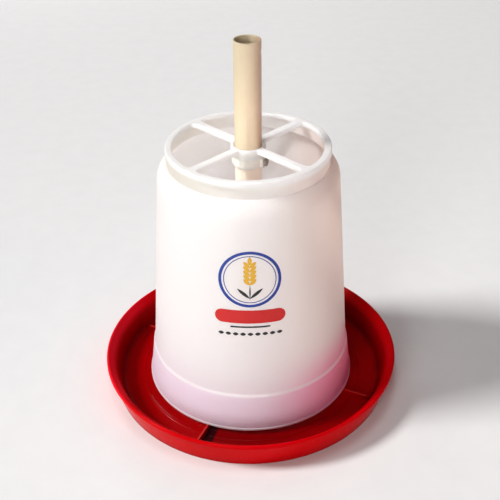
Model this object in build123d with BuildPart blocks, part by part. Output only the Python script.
"""Hanging tube feeder for poultry: a trough pan on a centre pipe, and a hopper that slides and turns on it.

Frame: millimetres, +Z up along the pipe, origin at the centre of the pan's foot, front towards -Y.
Every separate piece is one node in parts/.
"""
from build123d import *
from math import cos, radians, sin, sqrt, tan, atan2
import os

# ---------------------------------------------------------------- driving dimensions
# centre pipe, 32 mm PVC conduit
PIPE_R = 16.0
PIPE_WALL = 2.0
PIPE_BOTTOM = 4.0
PIPE_TOP = 468.0
HANG_HOLE_R = 4.0
HANG_HOLE_Z = 454.0
PIPE_CHAMFER = 0.4

# feed pan
SKIN = 2.5                     # wall of the moulding
FLOOR_TOP = 4.5                # feed side of the floor
RIM_R = 194.1
RIM_TOP = 40.2
LIP_BOTTOM = 34.8              # underside of the rim's overhang
LIP_OVERHANG = 2.3
FOOT_R = 182.3                 # outside of the foot skirt where it stands
FLOOR_FLAT_R = 166.0           # the flat floor ends here and turns up into the wall
CORNER_R = 10.0
WALL_LEAN = 72.5               # slope of the trough's inner wall, degrees above level
FLARE_Z = 29.0                 # the wall flares out into the rim from here
FLARE_TOP_R = 191.2
FLARE_BEND_R = 8.0
RIM_CREST_R = 1.5              # where the flare turns level on top of the rim
RIM_ROUND = 1.8
LIP_ROUND = 0.8
FOOT_ROUND = 0.6
GROOVE_ROUND = 0.8             # top of the groove between the foot skirt and the flare
BACK_BEND_R = 4.0
FLOOR_BEAD_R = 146.0           # low round bead on the floor, just outside the hopper
FLOOR_BEAD_WIDTH = 4.4
FLOOR_BEAD_HEIGHT = 0.8
INNER_FOOT_R = 118.0           # middle of the inner foot ring
INNER_FOOT_WIDTH = 3.0

# cone in the middle of the pan, with the socket for the pipe under it
CONE_BASE_R = 80.0
CONE_TOP_R = 20.5
CONE_TOP = 62.0
SOCKET_R = 20.1
SOCKET_BORE_R = 16.1
SOCKET_BOTTOM = 3.0
GUSSET_BOTTOM = 30.0
GUSSETS = 4
GUSSET_ANGLE = 45.0

# low radial dividers that part the trough
DIVIDER_ANGLES = (62, 150, 246, 334)     # degrees from +X
DIVIDER_THICK = 2.6
DIVIDER_TOP = 10.2

# M6 cross bolt that holds the pipe in the socket
BOLT_Z = 20.0
BOLT_R = 3.0
BOLT_HOLE_R = 3.2
PAD_R = 8.0
PAD_FACE = 21.5                # flat pads for the washers, from the axis
WASHER_R = 6.0
WASHER_THICK = 1.6
HEX_FLATS = 10.0
BOLT_HEAD = 4.0
NUT_HEIGHT = 6.0
BOLT_PAST_NUT = 2.0
BOLT_CHAMFER = 0.6

# hopper drum
DRUM_WALL = 2.0
DRUM_BOTTOM = 10.7
NECK_R = 97.4
NECK_TOP = 335.5
LEDGE_Z = 319.7                # step at the foot of the neck
LEDGE_R = 99.9
SHOULDER_R = 25.0              # radius of the rounded shoulder
SHOULDER_CORNER_Z = 312.2      # where the shoulder's slope would meet the wall
WALL_TOP_R = 110.0             # the wall's taper: this radius at WALL_TOP_Z ...
WALL_TOP_Z = 305.0
WALL_LOW_R = 127.1             # ... and this one at WALL_LOW_Z
WALL_LOW_Z = 66.0
STEP_Z = 59.2                  # rounded step where the skirt begins
STEP_R = 129.3
STEP_RUN = 3.2                 # height of the step's slope
SKIRT_R = 134.9                # skirt just above its bottom edge
LIP_R = 136.0
LIP_HEIGHT = 2.0
LIP_SLOPE = 0.7                # height of the slope above the lip
NECK_ROUND = 0.2
LEDGE_ROUND = 0.4
STEP_ROUND = 2.5
LIP_TOP_ROUND = 0.5
LIP_FOOT_ROUND = 0.3

# open cap with four arms
CAP_R = 98.9
CAP_OPENING_R = 90.0
CAP_TOP = 340.7
CAP_PLATE = 5.0
CAP_SKIRT_BORE_R = 97.6
CAP_SKIRT_BOTTOM = 333.2
ARM_WIDTH = 11.0
ARMS = 4
ARM_ANGLE = 45.0
HUB_R = 21.0
HUB_LOW_R = 20.2
HUB_BORE_R = 16.6
HUB_BOTTOM = 328.0
ARM_HUB_FILLET = 3.0
ARM_RING_FILLET = 5.0
CAP_EDGE_ROUND = 2.0

# adjuster collar under the hub, with its clamping screw
COLLAR_R = 19.8
COLLAR_BORE_R = 16.3
COLLAR_TOP = 327.8
COLLAR_BOTTOM = 314.6
COLLAR_TAPER = 4.2             # height of the tapered lower edge
COLLAR_FOOT_R = 17.9
SCREW_ANGLE = -28.0
SCREW_Z = 321.7
BOSS_ROOT = 17.3               # the collar's boss starts inside its wall, from the axis
BOSS_FACE = 22.3               # outer face of the boss, from the axis
BOSS_CORNER_R = 2.0
BOSS_WIDTH = 12.4
BOSS_HEIGHT = 11.6
NUT_IN = 18.3                  # inner face of the captive nut, from the axis
CLAMP_NUT = (2.7, 8.0)         # thickness and width across flats of the square nut
NUT_ROOM = 0.1
CLAMP_R = 2.5
CLAMP_THREAD_R = 2.55
CLAMP_HOLE_R = 2.7
CLAMP_TIP = 16.6
CLAMP_HEAD_R = 4.7
CLAMP_HEAD = 2.7
CLAMP_HEAD_GAP = 0.3
CLAMP_HEAD_ROUND = 1.1
SLOT_WIDTH = 1.3
SLOT_DEPTH = 1.2
SLOT_TURN = 25.0

os.makedirs("parts", exist_ok=True)


def save(part, label):
    """Label one finished piece and write it as its own STEP file."""
    part.label = label
    export_step(part, "parts/" + label + ".step")


def radial_plane(angle):
    """Upright plane through the pipe's axis: local x runs outwards at this angle, local y runs up."""
    turn = radians(angle)
    return Plane(origin=(0, 0, 0), x_dir=(cos(turn), sin(turn), 0), z_dir=(sin(turn), -cos(turn), 0))


def facing_plane(angle, distance, height):
    """Plane whose normal points outwards at this angle, with local y up, at a distance from the axis."""
    turn = radians(angle)
    return Plane(
        origin=(distance * cos(turn), distance * sin(turn), height),
        x_dir=(-sin(turn), cos(turn), 0),
        z_dir=(cos(turn), sin(turn), 0),
    )


def vertices_at_radius(sketch, radius, within=1.0):
    """A sketch's vertices that lie on a circle about the axis."""
    return sketch.vertices().filter_by(lambda v: abs(Vector(v.X, v.Y).length - radius) < within)


def drum_radius(z):
    """Outer radius of the drum's straight tapered wall at a height."""
    return WALL_LOW_R + (WALL_TOP_R - WALL_LOW_R) * (z - WALL_LOW_Z) / (WALL_TOP_Z - WALL_LOW_Z)


# ---------------------------------------------------------------- feed pan
lean = radians(WALL_LEAN)
corner_z = FLOOR_TOP + CORNER_R                     # centre of the floor's corner arc
wall_start = (FLOOR_FLAT_R + CORNER_R * sin(lean), corner_z - CORNER_R * cos(lean))
flare_start = (wall_start[0] + (FLARE_Z - wall_start[1]) / tan(lean), FLARE_Z)
flare_lean = atan2(RIM_TOP - FLARE_Z, FLARE_TOP_R - flare_start[0])
back_start = (
    FLOOR_FLAT_R + (CORNER_R + SKIN) * sin(lean),
    corner_z - (CORNER_R + SKIN) * cos(lean),
)
back_bend_z = FLARE_Z - SKIN * tan((lean - flare_lean) / 2)
back_bend = (back_start[0] + (back_bend_z - back_start[1]) / tan(lean), back_bend_z)

# the foot skirt's inner face and the back of the flare meet in a groove that is open below
skirt_top_r = RIM_R - LIP_OVERHANG
skirt_lean = (skirt_top_r - FOOT_R) / LIP_BOTTOM    # outward run of the foot skirt for each mm of height
flare_run = 1 / tan(flare_lean)
groove_top_z = (FOOT_R - SKIN - back_bend[0] + flare_run * back_bend_z) / (flare_run - skirt_lean)
groove_top = (FOOT_R - SKIN + skirt_lean * groove_top_z, groove_top_z)

cone_lean = atan2(CONE_TOP - FLOOR_TOP, CONE_BASE_R - CONE_TOP_R)
cone_drop = SKIN / cos(cone_lean)                   # the cone's thickness, measured upright


def cone_back_z(radius):
    """Height of the cone's hollow side at a radius."""
    return FLOOR_TOP + (CONE_BASE_R - radius) * tan(cone_lean) - cone_drop


floor_back = FLOOR_TOP - SKIN
cone_back_r = CONE_BASE_R - (floor_back - FLOOR_TOP + cone_drop) / tan(cone_lean)
half_lean = lean / 2

with BuildPart() as feed_pan:
    with BuildSketch(Plane.XZ):
        with BuildLine():
            bead_in = FLOOR_BEAD_R - FLOOR_BEAD_WIDTH / 2
            bead_out = FLOOR_BEAD_R + FLOOR_BEAD_WIDTH / 2
            Polyline((SOCKET_BORE_R, SOCKET_BOTTOM), (SOCKET_BORE_R, CONE_TOP), (CONE_TOP_R, CONE_TOP),
                     (CONE_BASE_R, FLOOR_TOP), (bead_in, FLOOR_TOP))
            ThreePointArc((bead_in, FLOOR_TOP), (FLOOR_BEAD_R, FLOOR_TOP + FLOOR_BEAD_HEIGHT),
                          (bead_out, FLOOR_TOP))
            Line((bead_out, FLOOR_TOP), (FLOOR_FLAT_R, FLOOR_TOP))
            ThreePointArc(
                (FLOOR_FLAT_R, FLOOR_TOP),
                (FLOOR_FLAT_R + CORNER_R * sin(half_lean), corner_z - CORNER_R * cos(half_lean)),
                wall_start,
            )
            FilletPolyline(wall_start, flare_start, (FLARE_TOP_R, RIM_TOP), (RIM_R, RIM_TOP),
                           (RIM_R, LIP_BOTTOM), (skirt_top_r, LIP_BOTTOM), (FOOT_R, 0), (FOOT_R - SKIN, 0),
                           groove_top, back_bend, back_start,
                           radius=[FLARE_BEND_R, RIM_CREST_R, RIM_ROUND, LIP_ROUND, LIP_ROUND,
                                   FOOT_ROUND, FOOT_ROUND, GROOVE_ROUND, BACK_BEND_R])
            ThreePointArc(
                back_start,
                (FLOOR_FLAT_R + (CORNER_R + SKIN) * sin(half_lean),
                 corner_z - (CORNER_R + SKIN) * cos(half_lean)),
                (FLOOR_FLAT_R, floor_back),
            )
            Polyline((FLOOR_FLAT_R, floor_back), (INNER_FOOT_R + INNER_FOOT_WIDTH / 2, floor_back),
                     (INNER_FOOT_R + INNER_FOOT_WIDTH / 2, 0), (INNER_FOOT_R - INNER_FOOT_WIDTH / 2, 0),
                     (INNER_FOOT_R - INNER_FOOT_WIDTH / 2, floor_back), (cone_back_r, floor_back),
                     (SOCKET_R, cone_back_z(SOCKET_R)), (SOCKET_R, SOCKET_BOTTOM),
                     (SOCKET_BORE_R, SOCKET_BOTTOM))
        make_face()
    revolve(axis=Axis.Z)

    # dividers: their foot follows the floor and its corner inside the skin
    sunk_r = CORNER_R + SKIN / 2
    top_reach = FLOOR_FLAT_R + sqrt(sunk_r ** 2 - (corner_z - DIVIDER_TOP) ** 2)
    for angle in DIVIDER_ANGLES:
        with BuildSketch(radial_plane(angle)):
            with BuildLine():
                Polyline((FLOOR_FLAT_R, corner_z - sunk_r), (CONE_BASE_R, corner_z - sunk_r),
                         (CONE_BASE_R - DIVIDER_TOP, DIVIDER_TOP), (top_reach, DIVIDER_TOP))
                RadiusArc((top_reach, DIVIDER_TOP), (FLOOR_FLAT_R, corner_z - sunk_r), sunk_r)
            make_face()
        extrude(amount=DIVIDER_THICK / 2, both=True)

    # gussets between the socket and the hollow side of the cone
    for n in range(GUSSETS):
        with BuildSketch(radial_plane(GUSSET_ANGLE + n * 360 / GUSSETS)):
            with BuildLine():
                reach = CONE_BASE_R - (GUSSET_BOTTOM - FLOOR_TOP + cone_drop / 2) / tan(cone_lean)
                inner = SOCKET_R - SKIN / 2
                Polyline((inner, GUSSET_BOTTOM), (reach, GUSSET_BOTTOM),
                         (inner, cone_back_z(inner) + cone_drop / 2), close=True)
            make_face()
        extrude(amount=SKIN / 2, both=True)

    # pads for the washers, then the bores for the bolt and the pipe
    with BuildSketch(Plane.YZ):
        with Locations((0, BOLT_Z)):
            Circle(PAD_R)
    extrude(amount=PAD_FACE, both=True)
    with BuildSketch(Plane.YZ):
        with Locations((0, BOLT_Z)):
            Circle(BOLT_HOLE_R)
    extrude(amount=PAD_FACE, both=True, mode=Mode.SUBTRACT)
    with BuildSketch(Plane.XY.offset(SOCKET_BOTTOM)):
        Circle(SOCKET_BORE_R)
    extrude(amount=CONE_TOP - SOCKET_BOTTOM, mode=Mode.SUBTRACT)
save(feed_pan.part, "feed_pan")

# ---------------------------------------------------------------- centre pipe
with BuildPart() as centre_pipe:
    with BuildSketch(Plane.XY.offset(PIPE_BOTTOM)):
        Circle(PIPE_R)
        Circle(PIPE_R - PIPE_WALL, mode=Mode.SUBTRACT)
    extrude(amount=PIPE_TOP - PIPE_BOTTOM)
    chamfer(centre_pipe.edges().group_by(Axis.Z)[-1], length=PIPE_CHAMFER)
    for hole_z, hole_r in ((BOLT_Z, BOLT_HOLE_R), (HANG_HOLE_Z, HANG_HOLE_R)):
        with BuildSketch(Plane.YZ):
            with Locations((0, hole_z)):
                Circle(hole_r)
        extrude(amount=PIPE_R, both=True, mode=Mode.SUBTRACT)
save(centre_pipe.part, "centre_pipe")

# ---------------------------------------------------------------- cross bolt, washers and nut
seat = PAD_FACE + WASHER_THICK
hex_r = HEX_FLATS / 2 / cos(radians(30))

with BuildPart() as foot_bolt:
    with BuildSketch(Plane.YZ.offset(-seat)):
        with Locations((0, BOLT_Z)):
            Circle(BOLT_R)
    extrude(amount=2 * seat + NUT_HEIGHT + BOLT_PAST_NUT)
    chamfer(foot_bolt.edges().group_by(Axis.X)[-1], length=BOLT_CHAMFER)
    with BuildSketch(Plane.YZ.offset(-seat - BOLT_HEAD)):
        with Locations((0, BOLT_Z)):
            RegularPolygon(hex_r, 6)
    extrude(amount=BOLT_HEAD)
save(foot_bolt.part, "foot_bolt")

with BuildPart() as foot_washers:
    for start in (-seat, PAD_FACE):
        with BuildSketch(Plane.YZ.offset(start)):
            with Locations((0, BOLT_Z)):
                Circle(WASHER_R)
                Circle(BOLT_HOLE_R, mode=Mode.SUBTRACT)
        extrude(amount=WASHER_THICK)
save(foot_washers.part, "foot_washers")

with BuildPart() as foot_nut:
    with BuildSketch(Plane.YZ.offset(seat)):
        with Locations((0, BOLT_Z)):
            RegularPolygon(hex_r, 6)
            Circle(BOLT_R, mode=Mode.SUBTRACT)
    extrude(amount=NUT_HEIGHT)
save(foot_nut.part, "foot_nut")

# ---------------------------------------------------------------- hopper drum
shoulder_corner = (drum_radius(SHOULDER_CORNER_Z), SHOULDER_CORNER_Z)

with BuildPart() as hopper_drum:
    with BuildSketch(Plane.XZ):
        with BuildLine():
            outside = FilletPolyline(
                (NECK_R, NECK_TOP), (NECK_R, LEDGE_Z), (LEDGE_R, LEDGE_Z), shoulder_corner,
                (drum_radius(STEP_Z + STEP_RUN), STEP_Z + STEP_RUN), (STEP_R, STEP_Z),
                (SKIRT_R, DRUM_BOTTOM + LIP_HEIGHT + LIP_SLOPE), (LIP_R, DRUM_BOTTOM + LIP_HEIGHT),
                (LIP_R, DRUM_BOTTOM),
                radius=[NECK_ROUND, LEDGE_ROUND, SHOULDER_R, STEP_ROUND, STEP_ROUND,
                        LIP_TOP_ROUND, LIP_FOOT_ROUND],
            )
            inside = FilletPolyline(
                (SKIRT_R - DRUM_WALL, DRUM_BOTTOM), (STEP_R - DRUM_WALL, STEP_Z),
                (drum_radius(STEP_Z + STEP_RUN) - DRUM_WALL, STEP_Z + STEP_RUN),
                (shoulder_corner[0] - DRUM_WALL, SHOULDER_CORNER_Z - DRUM_WALL / 2),
                (NECK_R - DRUM_WALL, LEDGE_Z - DRUM_WALL / 2), (NECK_R - DRUM_WALL, NECK_TOP),
                radius=[STEP_ROUND, STEP_ROUND, SHOULDER_R - DRUM_WALL, LEDGE_ROUND],
            )
            Line((LIP_R, DRUM_BOTTOM), (SKIRT_R - DRUM_WALL, DRUM_BOTTOM))
            Line((NECK_R - DRUM_WALL, NECK_TOP), (NECK_R, NECK_TOP))
        make_face()
    revolve(axis=Axis.Z)
save(hopper_drum.part, "hopper_drum")

# ---------------------------------------------------------------- open cap: ring, four arms, hub
with BuildPart() as top_cap:
    with BuildSketch(Plane.XY.offset(CAP_TOP - CAP_PLATE)) as cap_plan:
        Circle(CAP_R)
        Circle(CAP_OPENING_R, mode=Mode.SUBTRACT)
        arm_length = (CAP_OPENING_R + CAP_R) / 2
        with PolarLocations(arm_length / 2, ARMS, start_angle=ARM_ANGLE):
            Rectangle(arm_length, ARM_WIDTH)
        Circle(HUB_R)
        fillet(vertices_at_radius(cap_plan, HUB_R), radius=ARM_HUB_FILLET)
        fillet(vertices_at_radius(cap_plan, CAP_OPENING_R), radius=ARM_RING_FILLET)
        Circle(HUB_BORE_R, mode=Mode.SUBTRACT)
    extrude(amount=CAP_PLATE)
    fillet(top_cap.edges().group_by(Axis.Z)[-1], radius=CAP_EDGE_ROUND)

    # short skirt that snaps over the top of the drum's neck
    with BuildSketch(Plane.XY.offset(CAP_SKIRT_BOTTOM)):
        Circle(CAP_R)
        Circle(CAP_SKIRT_BORE_R, mode=Mode.SUBTRACT)
    extrude(amount=CAP_TOP - CAP_PLATE - CAP_SKIRT_BOTTOM)

    # boss under the hub
    with BuildSketch(Plane.XZ):
        with BuildLine():
            Polyline((HUB_BORE_R, HUB_BOTTOM), (HUB_LOW_R, HUB_BOTTOM), (HUB_R, CAP_TOP - CAP_PLATE),
                     (HUB_BORE_R, CAP_TOP - CAP_PLATE), close=True)
        make_face()
    revolve(axis=Axis.Z)
save(top_cap.part, "top_cap")

# ---------------------------------------------------------------- adjuster collar
nut_thick, nut_width = CLAMP_NUT

with BuildPart() as adjuster_collar:
    with BuildSketch(Plane.XZ):
        with BuildLine():
            Polyline((COLLAR_BORE_R, COLLAR_BOTTOM), (COLLAR_FOOT_R, COLLAR_BOTTOM),
                     (COLLAR_R, COLLAR_BOTTOM + COLLAR_TAPER), (COLLAR_R, COLLAR_TOP),
                     (COLLAR_BORE_R, COLLAR_TOP), close=True)
        make_face()
    revolve(axis=Axis.Z)
    with BuildSketch(facing_plane(SCREW_ANGLE, BOSS_ROOT, SCREW_Z)):
        RectangleRounded(BOSS_WIDTH, BOSS_HEIGHT, BOSS_CORNER_R)
    extrude(amount=BOSS_FACE - BOSS_ROOT)
    with BuildSketch(Plane.XY.offset(COLLAR_BOTTOM)):
        Circle(COLLAR_BORE_R)
    extrude(amount=COLLAR_TOP - COLLAR_BOTTOM, mode=Mode.SUBTRACT)
    # pocket for the nut, open below, and the screw's hole
    pocket_top = nut_width / 2 + NUT_ROOM
    pocket_height = pocket_top + SCREW_Z - COLLAR_BOTTOM
    with BuildSketch(facing_plane(SCREW_ANGLE, NUT_IN - NUT_ROOM, SCREW_Z)):
        with Locations((0, pocket_top - pocket_height / 2)):
            Rectangle(nut_width + 2 * NUT_ROOM, pocket_height)
    extrude(amount=nut_thick + 2 * NUT_ROOM, mode=Mode.SUBTRACT)
    with BuildSketch(facing_plane(SCREW_ANGLE, 0, SCREW_Z)):
        Circle(CLAMP_HOLE_R)
    extrude(amount=BOSS_FACE, mode=Mode.SUBTRACT)
save(adjuster_collar.part, "adjuster_collar")

with BuildPart() as clamp_nut:
    with BuildSketch(facing_plane(SCREW_ANGLE, NUT_IN, SCREW_Z)):
        Rectangle(nut_width, nut_width)
        Circle(CLAMP_THREAD_R, mode=Mode.SUBTRACT)
    extrude(amount=nut_thick)
save(clamp_nut.part, "clamp_nut")

head_seat = BOSS_FACE + CLAMP_HEAD_GAP
with BuildPart() as clamp_screw:
    with BuildSketch(facing_plane(SCREW_ANGLE, CLAMP_TIP, SCREW_Z)):
        Circle(CLAMP_R)
    extrude(amount=head_seat - CLAMP_TIP)
    with BuildSketch(facing_plane(SCREW_ANGLE, head_seat, SCREW_Z)):
        Circle(CLAMP_HEAD_R)
    extrude(amount=CLAMP_HEAD)
    head_rims = clamp_screw.edges().filter_by(
        lambda e: e.geom_type == GeomType.CIRCLE and e.radius > CLAMP_R)
    outer_rim = head_rims.sort_by(lambda e: Vector(e.arc_center.X, e.arc_center.Y).length)[-1]
    fillet(outer_rim, radius=CLAMP_HEAD_ROUND)
    with BuildSketch(facing_plane(SCREW_ANGLE, head_seat + CLAMP_HEAD - SLOT_DEPTH, SCREW_Z)):
        Rectangle(SLOT_WIDTH, 3 * CLAMP_HEAD_R, rotation=SLOT_TURN)
    extrude(amount=2 * SLOT_DEPTH, mode=Mode.SUBTRACT)
save(clamp_screw.part, "clamp_screw")
